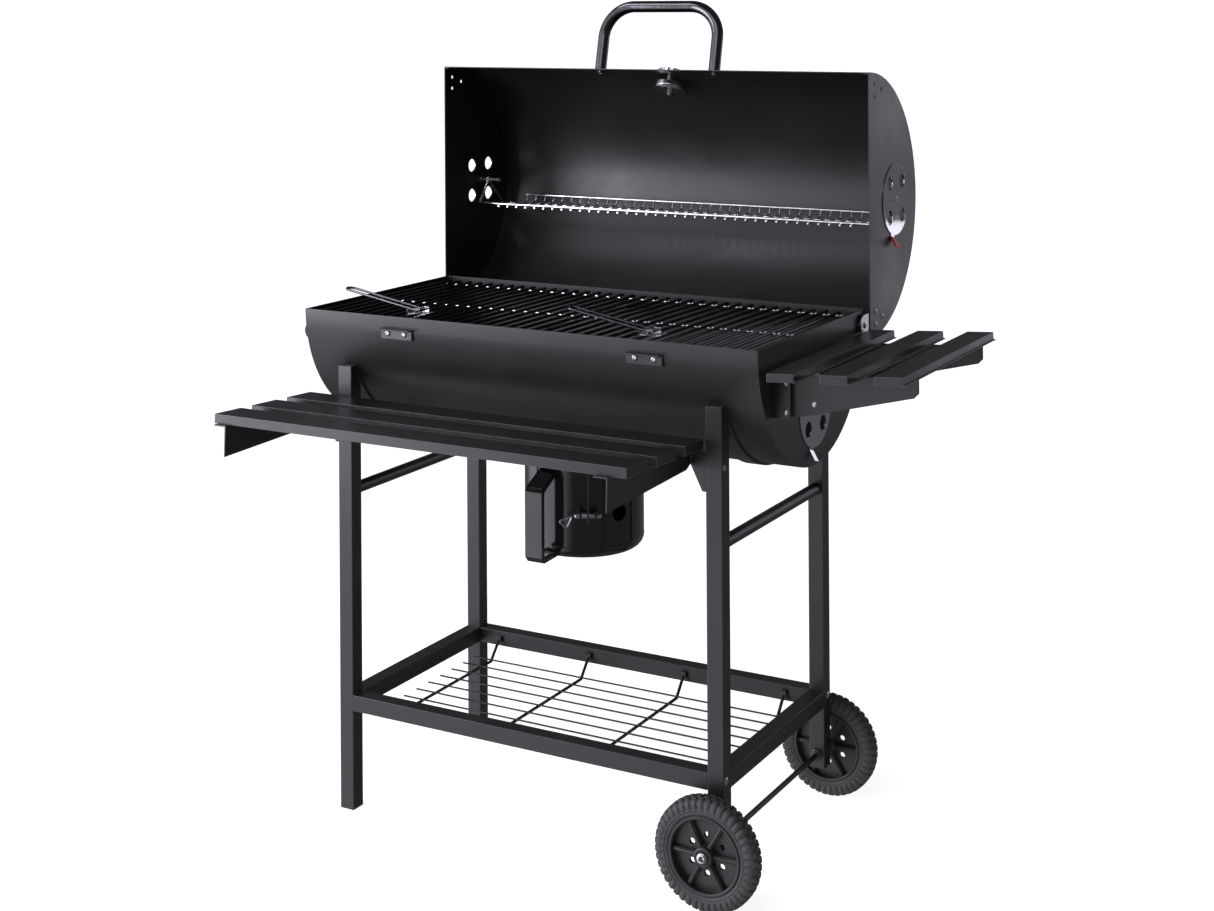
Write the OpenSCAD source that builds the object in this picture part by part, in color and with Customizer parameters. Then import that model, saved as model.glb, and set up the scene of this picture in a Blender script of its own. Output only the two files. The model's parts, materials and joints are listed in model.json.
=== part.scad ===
// Barrel charcoal grill on a two-wheeled cart, with a hinged half-round lid.
// X runs along the barrel to the wheel side, Y to the back, Z up.
// Inside the modules the barrel's axis stands over x = 0, y = 0, and place()
// moves everything so that the origin is the middle of the footprint, on the floor.

/* [Barrel] */
// Outer radius of the lower half, the bowl
bowl_r = 203; // [198:1:206]
// Length of the bowl over its end plates
bowl_len = 796; // [780:2:800]
// Height of the bowl's rim, which is the cooking height
rim_z = 791; // [785:1:800]
// Outer radius of the upper half, the lid
lid_r = 212; // [212:1:214]
// Length of the lid over its end plates
lid_len = 812; // [812:1:816]
// Thickness of the sheet steel
sheet = 1.5; // [1:0.1:2]

/* [Lid hinge] */
// Hinge axis behind the barrel's axis
hinge_y = 186; // [184:1:188]
// Height of the hinge axis
hinge_z = 768; // [766:1:770]
// Opening plane of the raised lid behind the barrel's axis
lid_y = 207; // [206:1:209]
// Height of the raised lid's axis
lid_z = 954; // [953:1:956]

/* [Vents] */
// Radius of the turning vent discs
vent_r = 58.5; // [54:0.5:60]
// Radius of each of the four air holes
vent_hole_r = 12; // [9:0.5:12]
// Distance of the holes from the disc's centre lines
vent_hole_at = 27.5; // [25:0.5:28]
// Height of the bowl's vent
bowl_vent_z = 673; // [670:1:680]
// Distance of the lid's vent from its opening plane
lid_vent_in = 115; // [112:1:118]

/* [Lid handle] */
// Distance of each leg of the handle from its middle
handle_half = 110; // [100:1:120]
// Radius of the handle's tube
handle_r = 10; // [8:0.5:11]
// Height of the handle's centre line over the lid
handle_rise = 114; // [100:1:120]
// Angle of the handle behind the lid's rim
handle_at = 13; // [12:0.5:15]
// Angle of the thermometer behind the lid's rim
gauge_at = 25; // [25:0.5:28]
// Distance of the thermometer from the lid's middle, towards the wheel side
gauge_x = 8; // [0:1:10]

/* [Cart] */
// Side of the square leg tube
tube = 25; // [24:0.5:25]
// Distance of the legs' outer faces from the barrel's middle, along the barrel
leg_x = 338; // [336:1:340]
// The same distance across the barrel
leg_y = 196; // [194:1:197]
// Height of the legs' tops
leg_top = 704; // [700:1:706]
// Height of the lower rails' top faces
low_rail_top = 182.5; // [175:0.5:190]
// Height of the two round upper rails
up_rail_z = 504; // [480:1:510]
// Radius of the round upper rails
up_rail_r = 9.5; // [8:0.5:10]

/* [Wheels] */
// Radius of the wheels
wheel_r = 81; // [77:0.5:83]
// Width of the tyres
wheel_w = 30; // [26:1:32]
// Distance of the wheels' middle planes from the barrel's middle
wheel_y = 222; // [221:1:230]
// Radius of the axle
axle_r = 4; // [3.5:0.5:5]

/* [Shelves] */
// Length of the front shelf's slats
front_slat_len = 702; // [680:2:720]
// Width of the front shelf's slats
front_slat_w = 58.5; // [54:0.5:60]
// Distance from slat to slat
front_pitch = 84.5; // [82:0.5:88]
// Rise of the front shelf towards its front edge, in degrees
front_tilt = 2.3; // [0:0.1:3]
// Width of the side shelf's slats
side_slat_w = 41; // [38:0.5:44]
// Distance from slat to slat
side_pitch = 80; // [76:0.5:82]
// Rise of the side shelf towards its outer edge, in degrees
side_tilt = 3.6; // [2:0.1:4]

/* [Grates] */
// Number of bars in each half of the cooking grate
bars = 18; // [14:1:19]
// Radius of the bars
bar_r = 2.5; // [2:0.25:3]
// Distance from bar to bar
bar_pitch = 21.9; // [18:0.1:22]
// Height of the bars' centre lines
grate_z = 784.5; // [783:0.5:786]
// Height of the charcoal grate
coal_z = 668; // [660:1:680]

/* [Ash can] */
// Outer radius of the can
can_r = 95; // [90:1:96]
// Height of the can's bottom
can_z = 417; // [410:1:430]
// Height of the can's rim
can_top = 585; // [580:0.5:586]

/* [Hidden] */

eps = 0.01;
gap = 0.2;               // between a turning piece and the face it turns on
bore_play = 0.05;        // radial clearance of a running fit
bolt_r = 3;
hole_play = 0.2;
head_r = 5.5;
head_h = 2.5;
ends = [-1, 1];

bowl_half = bowl_len / 2;
lid_half = lid_len / 2;
bowl_in = bowl_r - sheet;
lid_in = lid_r - sheet;
flange_w = 10;           // folded edge of an end plate
flange_play = 0.1;

stop_back = -bowl_r + 0.8;   // back faces of the lid stops
hinge_plate_t = 2;
hinge_plate_x = lid_half - sheet - hinge_plate_t;
lid_bolts = [[24, 20], [53, 29], [24, 40]];   // from the opening plane, from the lid's lower edge

vent_t = 1.2;
vent_tab_w = 15;
vent_tab_r = 74;
rivet_r = 3;

rack_pin_r = 2.5;
rack_pin_in = 362;
rack_x = 386;
rack_front = [lid_y + 84, lid_z - 40];
rack_wire_r = 1.5;
rack_tray_z = lid_z - 43.6;
rack_back = [lid_y + 161, rack_tray_z - 3.1];
rack_lip = [lid_y + 183, lid_z - 32];
rack_pitch = 19;
rack_wires = 37;
rack_reach = 6;          // of the wires past the front rod

lifter_x = [-218, 199];
lifter_y = -137;
lifter_z = grate_z + bar_r + 5;
lifter_r = 2;
lifter_tilt = 10;

leg_in_x = leg_x - tube;
leg_in_y = leg_y - tube;
wall = 1.5;
strap_t = 3;
strap_r = bowl_r + 0.3;
wheel_x = leg_x - tube / 2;
leg_foot = 60;           // the wheel side's legs end above the floor
cap_t = 3;
low_rail_z = low_rail_top - tube;

front_y = -203.5;        // back edge of the front shelf
front_z = 658.1;         // top of the front shelf at that edge
front_x = -389;          // left end of the front shelf
front_slat_h = 14;
front_depth = 2 * front_pitch + front_slat_w;
front_bracket_x = [-361, 289];
bracket_deep = front_depth + 8;
bracket_drop = 46;
side_x = 410;
side_z = 760.1;
side_slat_h = 12;
side_lip = 3;
side_y = [-201.5, 194];
side_bracket_y = 139;
side_depth = 2 * side_pitch + side_slat_w;
plate_t = 2;

wire_r = 2.5;            // cross wires of the bottom shelf
long_wire_r = 1.4;
shelf_wire_z = 139;
cross_wires = [-270.5, -90.4, 90.4, 270.5];
long_wires = 9;
long_wire_pitch = 34.75;

carry_out = 462;
carry_r = 16;
carry_z = 741;
carry_y = 135;

pin_at = -57.2;          // direction of the ash can's locking pin
pin_r = 4;
can_corner = 18;
pin_out = can_r + 15;
pin_z = 490;
pin_slot = pin_r + 0.4;
collar_r = can_r + 6;
collar_low = 566;

// Middle of the footprint, which place() puts over the origin
low_x = -carry_out;
high_x = side_x + (side_depth + side_lip) * cos(side_tilt) + side_slat_h * sin(side_tilt);
low_y = front_y - bracket_deep * cos(front_tilt) - (front_slat_h + bracket_drop) * sin(front_tilt);
high_y = lid_y + lid_r;
mid_x = (low_x + high_x) / 2;
mid_y = (low_y + high_y) / 2;

module place() {
    translate([-mid_x, -mid_y, 0]) children();
}

// A solid rod between two points
module rod(a, b, r) {
    d = b - a;
    n = norm(d);
    translate(a)
        rotate([0, acos(d[2] / n), atan2(d[1], d[0])])
            cylinder(h = n, r = r, $fn = 48);
}

// A wire through a row of points, its stretches lapped at the corners
module wire(points, r) {
    for (i = [0 : len(points) - 2]) {
        ahead = (points[i + 1] - points[i]) / norm(points[i + 1] - points[i]);
        first = i == 0 ? 0 : r / 2;
        last = i == len(points) - 2 ? 0 : r / 2;
        rod(points[i] - first * ahead, points[i + 1] + last * ahead, r);
    }
}

module along_x(x0, x1, r) {
    translate([x0, 0, 0]) rotate([0, 90, 0]) cylinder(h = x1 - x0, r = r, $fn = 96);
}

// A bolt head on a face, looking along +Z, with a socket for the key
module bolt_head(r = head_r, h = head_h) {
    difference() {
        intersection() {
            cylinder(h = h, r = r, $fn = 48);
            translate([0, 0, h - r * 1.4]) sphere(r = r * 1.4, $fn = 48);
        }
        translate([0, 0, h * 0.45]) cylinder(h = h, r = r * 0.4, $fn = 6);
    }
}

// A bolt from the origin down along -Z, its head standing on z = 0
module bolt(length, r = bolt_r) {
    bolt_head();
    translate([0, 0, -length]) cylinder(h = length + eps, r = r, $fn = 32);
}

// ---- Bowl ----

module bowl_place() {
    translate([0, 0, rim_z]) children();
}

module lower_half(r, half) {
    translate([-half - 1, -r - 1, -r - 1]) cube([2 * half + 2, 2 * r + 2, r + 1]);
}

module bowl_shell() {
    color("#1b1b1d") place() bowl_place() {
        difference() {
            intersection() {
                along_x(-bowl_half + sheet, bowl_half - sheet, bowl_r);
                lower_half(bowl_r, bowl_half);
            }
            along_x(-bowl_half, bowl_half, bowl_in);
            translate([0, 0, -bowl_r - 5]) cylinder(h = 60, r = can_r - 10, $fn = 96);
            stop_holes();
        }
    }
}

module stop_holes() {
    for (s = ends, x = [204, 235])
        translate([s * x, 0, 765 - rim_z]) rotate([90, 0, 0])
            cylinder(h = bowl_r + 5, r = bolt_r + hole_play, $fn = 32);
}

// Half-round plate of a bowl end in the plane x = 0, its outer face towards +X
module bowl_end() {
    difference() {
        union() {
            intersection() {
                along_x(-sheet, 0, bowl_r);
                lower_half(bowl_r, 20);
            }
            intersection() {
                difference() {
                    along_x(-flange_w, 0, bowl_in - flange_play);
                    along_x(-flange_w - 1, 1, bowl_in - flange_play - sheet);
                }
                lower_half(bowl_r, 20);
            }
        }
        translate([0, hinge_y, hinge_z - rim_z]) along_x(-20, 1, bolt_r + hole_play);
        translate([0, 0, bowl_vent_z - rim_z]) vent_holes(rivet_r + hole_play);
    }
}

module bowl_end_left() {
    color("#1b1b1d") place() bowl_place()
        translate([-bowl_half, 0, 0]) mirror([1, 0, 0]) bowl_end();
}

module bowl_end_right() {
    color("#1b1b1d") place() bowl_place() translate([bowl_half, 0, 0]) bowl_end();
}

// Four air holes and the pivot hole of a vent, across x = 0
module vent_holes(pivot_r) {
    for (y = ends, z = ends)
        translate([0, y * vent_hole_at, z * vent_hole_at]) along_x(-20, 20, vent_hole_r);
    along_x(-20, 20, pivot_r);
}

// Turning vent disc with its pull tab, its inner face in the plane x = 0
module vent_disc(pivot_r) {
    difference() {
        union() {
            along_x(0, vent_t, vent_r);
            rotate([-16, 0, 0]) {
                translate([0, -vent_tab_w / 2, -vent_tab_r + 12])
                    cube([vent_t, vent_tab_w, vent_tab_r - 12]);
                translate([vent_t, 0, -vent_tab_r + 12]) rotate([0, -35, 0])
                    translate([-vent_t, -vent_tab_w / 2, -18]) cube([vent_t, vent_tab_w, 18]);
            }
        }
        vent_holes(pivot_r + bore_play);
    }
}

module bowl_vent(side) {
    translate([side * (bowl_half + gap), 0, bowl_vent_z])
        mirror([side < 0 ? 1 : 0, 0, 0]) vent_disc(rivet_r);
}

module bowl_vent_left() {
    color("#c4c6c8") place() bowl_vent(-1);
}

module bowl_vent_right() {
    color("#c4c6c8") place() bowl_vent(1);
}

// Rivets of the bowl's vents and screws of the lid stops
module bowl_fasteners() {
    color("#cfd1d3") place() {
        for (s = ends)
            translate([s * bowl_half, 0, bowl_vent_z]) rotate([0, s * 90, 0]) {
                translate([0, 0, 2 * gap + vent_t]) bolt_head(7, 2.2);
                translate([0, 0, -sheet - 1.5]) cylinder(h = sheet + 2 + vent_t, r = rivet_r, $fn = 48);
                translate([0, 0, -sheet - 1.5]) cylinder(h = 1.5, r = 6, $fn = 48);
            }
        for (s = ends, x = [204, 235]) {
            translate([s * x, stop_back - plate_t, 765]) rotate([90, 0, 0]) bolt(plate_t + 8);
        }
    }
}

// Two angle brackets on the front that the closed lid's rim rests on
module lid_stops() {
    stop_w = 58;
    stop_x = 190;
    stop_low = 755.5;
    stop_top = 772.4;
    color("#232325") place() for (s = ends) {
        x0 = s > 0 ? stop_x : -stop_x - stop_w;
        difference() {
            union() {
                translate([x0, stop_back - plate_t, stop_low])
                    cube([stop_w, plate_t, stop_top - stop_low]);
                translate([x0, stop_back - 13, stop_top - plate_t]) cube([stop_w, 13, plate_t]);
            }
            for (x = [204, 235]) translate([s * x, 0, 765]) rotate([90, 0, 0])
                cylinder(h = bowl_r + 5, r = bolt_r + hole_play, $fn = 32);
        }
    }
}

// Pivot bolts that the lid's hinge plates turn on
module hinge_pins() {
    pin_r = 3;
    color("#cfd1d3") place() for (s = ends)
        translate([s * bowl_half, hinge_y, hinge_z]) rotate([0, s * 90, 0]) {
            plate_out = lid_half - sheet - bowl_half;
            translate([0, 0, -sheet - 4]) cylinder(h = 4, r = 5, $fn = 6);
            translate([0, 0, -sheet - 4]) cylinder(h = plate_out + sheet + 4 + gap + 1, r = pin_r, $fn = 48);
            cylinder(h = hinge_plate_x - bowl_half - gap, r = 6, $fn = 48);
            translate([0, 0, plate_out + gap]) bolt_head(5.5, 2.6);
        }
}

// Ring under the bowl that guides the ash can, with a fork over the can's locking pin
module ash_collar() {
    fork_w = 3;
    fork_in = collar_r + sheet + 0.02;
    fork_out = pin_out + pin_slot + fork_w;
    fork_z = pin_z - 12;
    bridge_z = pin_z + pin_slot + 1;
    color("#1b1b1d") place() difference() {
        union() {
            translate([0, 0, collar_low]) difference() {
                cylinder(h = 60, r = collar_r + sheet, $fn = 96);
                translate([0, 0, -1]) cylinder(h = 70, r = collar_r, $fn = 96);
            }
            rotate([0, 0, pin_at]) translate([0, -fork_w / 2, 0]) {
                translate([fork_in, 0, bridge_z])
                    cube([fork_out - fork_in, fork_w, collar_low + 14 - bridge_z]);
                translate([fork_in, 0, fork_z])
                    cube([pin_out - pin_slot - fork_in, fork_w, bridge_z - fork_z - 0.02]);
                translate([fork_out - fork_w, 0, fork_z])
                    cube([fork_w, fork_w, bridge_z - fork_z - 0.02]);
            }
        }
        bowl_place() along_x(-bowl_half, bowl_half, bowl_r + 0.05);
    }
}

// Ledges inside the bowl: angle pieces for the cooking grates, rods for the charcoal grate
module grate_supports() {
    ledge_top = grate_z - 2 * bar_r - 3.2;
    color("#232325") place() {
        for (s = ends) {
            x0 = s > 0 ? bowl_half - flange_w - 16 : -bowl_half + flange_w;
            translate([x0, -150, ledge_top - plate_t]) cube([16, 300, plate_t]);
            translate([s > 0 ? bowl_half - flange_w - 2 : -bowl_half + flange_w, -150, ledge_top - 14])
                cube([2, 300, 14]);
        }
        translate([-7, -150, ledge_top - plate_t]) cube([14, 300, plate_t]);
        for (y = ends)
            translate([-1, y > 0 ? 148 : -200, ledge_top - 14])
                difference() {
                    cube([2, 52, 14]);
                    translate([-5, 0, 0]) bowl_offset(y, ledge_top - 14);
                }
        for (s = ends)
            intersection() {
                translate([s * 250 - 8, -160, coal_z - 8]) cube([16, 320, 4]);
                bowl_place() along_x(-bowl_half, bowl_half, bowl_in);
            }
    }
}

module bowl_offset(y, z) {
    translate([0, y > 0 ? -148 : 200, rim_z - z]) difference() {
        along_x(-5, 20, bowl_r + 60);
        along_x(-6, 21, bowl_in);
    }
}

// Bent tube at the end without wheels, for lifting and pulling
module carry_handle() {
    bend = 25;
    out = carry_out - carry_r;
    color("#161617") place() translate([0, 0, carry_z]) {
        for (s = ends) {
            translate([-out + bend, s * carry_y, 0]) rotate([0, 90, 0])
                cylinder(h = out - bend - bowl_half, r = carry_r, $fn = 64);
            translate([-out + bend, s * (carry_y - bend), 0]) rotate([0, 0, s > 0 ? 90 : 180])
                rotate_extrude(angle = 90, $fn = 96) translate([bend, 0]) circle(r = carry_r, $fn = 64);
            translate([-bowl_half - 3, s * carry_y, 0]) rotate([0, 90, 0])
                cylinder(h = 3, r = carry_r + 4, $fn = 64);
        }
        translate([-out, 0, 0]) rotate([90, 0, 0])
            cylinder(h = 2 * (carry_y - bend), r = carry_r, center = true, $fn = 64);
    }
}

// ---- Lid, raised ----

module lid_place() {
    translate([0, lid_y, lid_z]) children();
}

module back_half(r, half) {
    translate([-half - 1, 0, -r - 1]) cube([2 * half + 2, r + 1, 2 * r + 2]);
}

// Looks out along a lid radius: +Z points away from the shell, at an angle behind the rim
module lid_radius(angle) {
    lid_place() rotate([-angle, 0, 0]) children();
}

module lid_shell() {
    color("#1b1b1d") place() difference() {
        lid_place() difference() {
            intersection() {
                along_x(-lid_half + sheet, lid_half - sheet, lid_r);
                back_half(lid_r, lid_half);
            }
            along_x(-lid_half, lid_half, lid_in);
        }
        lid_radius(gauge_at) translate([gauge_x, 0, 0]) cylinder(h = lid_r + 10, r = 7, $fn = 48);
        for (s = ends) lid_radius(handle_at) translate([s * handle_half, 0, 0])
            cylinder(h = lid_r + 10, r = bolt_r + hole_play, $fn = 32);
    }
}

// Half-round plate of a lid end in the plane x = 0, its outer face towards +X
module lid_end() {
    difference() {
        union() {
            intersection() {
                along_x(-sheet, 0, lid_r);
                back_half(lid_r, 20);
            }
            intersection() {
                difference() {
                    along_x(-flange_w, 0, lid_in - flange_play);
                    along_x(-flange_w - 1, 1, lid_in - flange_play - sheet);
                }
                back_half(lid_r, 20);
                translate([-20, 0, -lid_r + 80]) cube([40, lid_r, 2 * lid_r]);
            }
        }
        translate([0, lid_vent_in, 0]) vent_holes(rack_pin_r + hole_play);
        for (p = lid_bolts, s = ends)
            translate([0, p[0], s * (lid_r - p[1])]) along_x(-20, 20, bolt_r + hole_play);
    }
}

module lid_end_left() {
    color("#1b1b1d") place() lid_place()
        translate([-lid_half, 0, 0]) mirror([1, 0, 0]) lid_end();
}

module lid_end_right() {
    color("#1b1b1d") place() lid_place() translate([lid_half, 0, 0]) lid_end();
}

// Zinc plates bolted to the lid ends, which turn on the hinge pins
module hinge_plates() {
    color("#c4c6c8") place() for (s = ends)
        translate([s > 0 ? hinge_plate_x : -hinge_plate_x - hinge_plate_t, 0, 0]) difference() {
            union() {
                translate([0, hinge_y - 1, 755]) cube([hinge_plate_t, 86, 17]);
                translate([0, hinge_y - 1, hinge_z]) cube([hinge_plate_t, 62, 16]);
                translate([0, hinge_y, 771]) rotate([0, 90, 0]) cylinder(h = hinge_plate_t, r = 13, $fn = 64);
                translate([0, hinge_y - 13, 755]) cube([hinge_plate_t, 16, 16]);
            }
            translate([0, hinge_y, hinge_z]) along_x(-5, 5, 3 + bore_play);
            for (p = lid_bolts)
                translate([0, lid_y + p[0], lid_z - lid_r + p[1]]) along_x(-5, 5, bolt_r + hole_play);
            lid_place() difference() {
                along_x(-5, 5, lid_r + 90);
                along_x(-6, 6, lid_in - 2);
                translate([-7, -80, -lid_r - 90]) cube([14, 80, 2 * lid_r]);
            }
        }
}

// Tube handle in the plane of a lid radius
module lid_handle() {
    bend = 55;
    foot = lid_r - 2;
    top = lid_r + handle_rise;
    color("#2c2c2f") place() difference() {
        lid_radius(handle_at) {
            for (s = ends) {
                translate([s * handle_half, 0, foot]) cylinder(h = top - bend - foot, r = handle_r, $fn = 64);
                translate([s * (handle_half - bend), 0, top - bend]) rotate([90, 0, 0])
                    rotate([0, 0, s > 0 ? 0 : 90])
                        rotate_extrude(angle = 90, $fn = 96)
                            translate([bend, 0]) circle(r = handle_r, $fn = 64);
            }
            translate([0, 0, top]) rotate([0, 90, 0])
                cylinder(h = 2 * (handle_half - bend), r = handle_r, center = true, $fn = 64);
        }
        lid_place() along_x(-lid_half, lid_half, lid_r + 0.02);
        for (s = ends) lid_radius(handle_at) translate([s * handle_half, 0, 0])
            cylinder(h = lid_r + 14, r = bolt_r + hole_play, $fn = 32);
    }
}

// Screws of the handle, bolts of the hinge plates
module lid_fasteners() {
    color("#cfd1d3") place() {
        for (s = ends) lid_radius(handle_at) translate([s * handle_half, 0, lid_in - 1.2])
            rotate([180, 0, 0]) bolt(12);
        for (s = ends, p = lid_bolts)
            translate([s * lid_half, lid_y + p[0], lid_z - lid_r + p[1]]) rotate([0, s * 90, 0]) {
                bolt(sheet + hinge_plate_t);
                translate([0, 0, -sheet - hinge_plate_t - 2.4]) cylinder(h = 2.4, r = 5, $fn = 6);
            }
    }
}

module lid_vent(side) {
    translate([side * (lid_half + gap), lid_y + lid_vent_in, lid_z])
        mirror([side < 0 ? 1 : 0, 0, 0]) vent_disc(rack_pin_r);
}

module lid_vent_left() {
    color("#c4c6c8") place() lid_vent(-1);
}

module lid_vent_right() {
    color("#c4c6c8") place() lid_vent(1);
}

// Dial thermometer through the lid
module gauge_place() {
    place() lid_radius(gauge_at) translate([gauge_x, 0, lid_r]) children();
}

module thermometer_case() {
    color("#c4c6c8") gauge_place() difference() {
        union() {
            translate([0, 0, 1.6]) cylinder(h = 9.4, r = 27, $fn = 96);
            translate([0, 0, -8]) cylinder(h = 10, r = 5, $fn = 64);
        }
        translate([0, 0, 3.6]) cylinder(h = 10, r = 25, $fn = 96);
        translate([0, 0, -9]) cylinder(h = 15, r = 2, $fn = 48);
    }
}

module thermometer_dial() {
    color("white") gauge_place() translate([0, 0, 3.6]) difference() {
        cylinder(h = 0.8, r = 24.9, $fn = 96);
        translate([0, 0, -1]) cylinder(h = 3, r = 2.4, $fn = 48);
    }
}

module thermometer_needle() {
    color("#c02020") gauge_place() rotate([0, 0, 60]) translate([0, 0, 5.2]) {
        cylinder(h = 0.6, r = 2.2, $fn = 48);
        linear_extrude(0.6) polygon([[-1.2, -5], [1.2, -5], [0.4, 20], [-0.4, 20]]);
    }
}

module thermometer_lens() {
    color("#dfe8ee", 0.4) gauge_place() translate([0, 0, 8.2]) cylinder(h = 1.6, r = 24.9, $fn = 96);
}

// Probe stem with the disc and wing nut that clamp the case from inside
module thermometer_probe() {
    color("#c4c6c8") gauge_place() {
        translate([0, 0, -30]) cylinder(h = 34.9, r = 1.95, $fn = 48);
        translate([0, 0, -sheet - 27]) cylinder(h = 8, r = 4, $fn = 4);
        difference() {
            union() {
                translate([0, 0, -sheet - 19]) cylinder(h = 8, r = 27, $fn = 96);
                translate([0, 0, -sheet - 11.5]) cylinder(h = 11, r = 9, $fn = 64);
            }
            translate([0, 0, -sheet - 20]) cylinder(h = 5, r = 1.8, $fn = 48);
            translate([0, 0, -sheet - 17]) cylinder(h = 20, r = 5.05, $fn = 64);
        }
    }
}

// Pins through the lid's vents: the discs turn on them outside, the rack hangs on them inside
module warming_rack_pins() {
    pin_len = lid_half + gap + vent_t + gap - rack_pin_in;
    color("#cfd1d3") place() for (s = ends)
        translate([s * rack_pin_in, lid_y + lid_vent_in, lid_z]) rotate([0, s * 90, 0]) {
            cylinder(h = pin_len + 1, r = rack_pin_r, $fn = 48);
            cylinder(h = 3, r = rack_pin_r + 2, $fn = 48);
            translate([0, 0, lid_half - sheet - rack_pin_in - 3]) cylinder(h = 3, r = 5, $fn = 6);
            translate([0, 0, pin_len]) bolt_head(6, 2.4);
        }
}

// Wire tray that hangs on the pins and stays level as the lid turns
module warming_rack() {
    eye = [lid_y + lid_vent_in, lid_z];
    half = (rack_wires - 1) / 2 * rack_pitch;
    color("#cfd1d3") place() {
        for (s = ends) {
            difference() {
                union() {
                    translate([s * rack_x, eye[0], eye[1]]) along_x(-2.5, 2.5, 5.5);
                    rod([s * rack_x, eye[0] - 3, eye[1] - 3], [s * rack_x, rack_front[0], rack_front[1]], 2);
                    rod([s * rack_x, eye[0] + 3, eye[1] - 3], [s * rack_x, rack_back[0], rack_back[1]], 2);
                }
                translate([s * rack_x, eye[0], eye[1]]) along_x(-5, 5, rack_pin_r + bore_play);
            }
        }
        rod([-rack_x - 2, rack_front[0], rack_front[1]], [rack_x + 2, rack_front[0], rack_front[1]], 2.5);
        rod([-rack_x - 2, rack_back[0], rack_back[1]], [rack_x + 2, rack_back[0], rack_back[1]], 2);
        rod([-half - 5, rack_lip[0], rack_lip[1]], [half + 5, rack_lip[0], rack_lip[1]], 2);
        for (i = [0 : rack_wires - 1]) {
            x = -half + i * rack_pitch;
            rod([x, rack_front[0] - rack_reach, rack_tray_z], [x, rack_lip[0] - 5.5, rack_tray_z],
                rack_wire_r);
            rod([x, rack_lip[0] - 7.2, rack_tray_z - 0.2], [x, rack_lip[0], rack_lip[1]],
                rack_wire_r - 0.1);
        }
    }
}

// ---- Grates ----

// One half of the cooking grate: bars front to back on three cross rods
module cooking_grate(side) {
    first = bar_pitch / 2;
    reach = 190;
    rod_z = grate_z - 2 * bar_r + 0.4;
    last = first + (bars - 1) * bar_pitch;
    color("#202022") place() {
        for (i = [0 : bars - 1]) {
            x = side * (first + i * bar_pitch);
            rod([x, -reach, grate_z], [x, reach, grate_z], bar_r);
        }
        for (y = [-182, -12, 182])
            rod([side * (first - 4), y, rod_z], [side * (last + 4), y, rod_z], bar_r);
    }
}

module cooking_grate_left() {
    cooking_grate(-1);
}

module cooking_grate_right() {
    cooking_grate(1);
}

// Wire lifting handle of a grate: two legs from a pivot rod, joined by a round end
module grate_handle(x) {
    long = 138;
    half_w = 9;
    color("#8d8f92") place() translate([x, lifter_y, lifter_z]) rotate([0, lifter_tilt, 0]) {
        for (s = ends)
            translate([-long, s * half_w, 0]) rotate([0, 90, 0]) cylinder(h = long, r = lifter_r, $fn = 32);
        translate([-long, 0, 0]) rotate([0, 0, 90])
            rotate_extrude(angle = 180, $fn = 64) translate([half_w, 0]) circle(r = lifter_r, $fn = 32);
        rotate([90, 0, 0]) cylinder(h = 31, r = lifter_r, center = true, $fn = 32);
    }
}

// Sheet clip on the bars that the lifting handle turns in, with a lip that it rests on
module grate_clip(x) {
    cheek = 12;
    t = 1.2;
    low = grate_z + bar_r + 0.02;
    rest = 18;
    color("#c4c6c8") place() translate([x, lifter_y, 0]) difference() {
        union() {
            translate([-rest - t, -cheek - t, low]) cube([rest + 16 + t, 2 * cheek + 2 * t, t]);
            for (s = ends) translate([-6, s > 0 ? cheek : -cheek - t, low])
                cube([12, t, lifter_z + 4 - low]);
            translate([-rest - t, -cheek - t, low])
                cube([t, 2 * cheek + 2 * t, lifter_z - lifter_r + rest * tan(lifter_tilt) - 0.4 - low]);
        }
        translate([0, 0, lifter_z]) rotate([90, 0, 0])
            cylinder(h = 60, r = lifter_r + bore_play, center = true, $fn = 48);
    }
}

module grate_clip_left() {
    grate_clip(lifter_x[0]);
}

module grate_clip_right() {
    grate_clip(lifter_x[1]);
}

module grate_handle_left() {
    grate_handle(lifter_x[0]);
}

module grate_handle_right() {
    grate_handle(lifter_x[1]);
}

// Charcoal grate: bars front to back low in the bowl
module charcoal_grate() {
    reach = 148;
    pitch = 24;
    count = 29;
    color("#202022") place() {
        for (i = [0 : count - 1]) {
            x = (i - (count - 1) / 2) * pitch;
            rod([x, -reach, coal_z], [x, reach, coal_z], bar_r);
        }
        for (y = [-120, 0, 120])
            rod([-(count - 1) / 2 * pitch - 4, y, coal_z + 2 * bar_r - 0.4],
                [(count - 1) / 2 * pitch + 4, y, coal_z + 2 * bar_r - 0.4], bar_r);
    }
}

// ---- Cart ----

// Square tube standing on z = z0, its outer corner towards +X +Y
module leg(foot) {
    z0 = foot + cap_t;
    difference() {
        translate([leg_in_x, leg_in_y, z0]) cube([tube, tube, leg_top - z0]);
        translate([leg_in_x + wall, leg_in_y + wall, z0 - 1])
            cube([tube - 2 * wall, tube - 2 * wall, leg_top - z0 + 2]);
        bowl_place() along_x(0, bowl_half, strap_r + strap_t + 0.05);
        if (foot > 0)
            translate([wheel_x, 0, wheel_r]) rotate([-90, 0, 0])
                cylinder(h = leg_y + 5, r = axle_r + hole_play, $fn = 48);
    }
}

module leg_front_left() {
    color("#252527") place() mirror([1, 0, 0]) mirror([0, 1, 0]) leg(0);
}

module leg_front_right() {
    color("#252527") place() mirror([0, 1, 0]) leg(leg_foot);
}

module leg_rear_left() {
    color("#252527") place() mirror([1, 0, 0]) leg(0);
}

module leg_rear_right() {
    color("#252527") place() leg(leg_foot);
}

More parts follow.
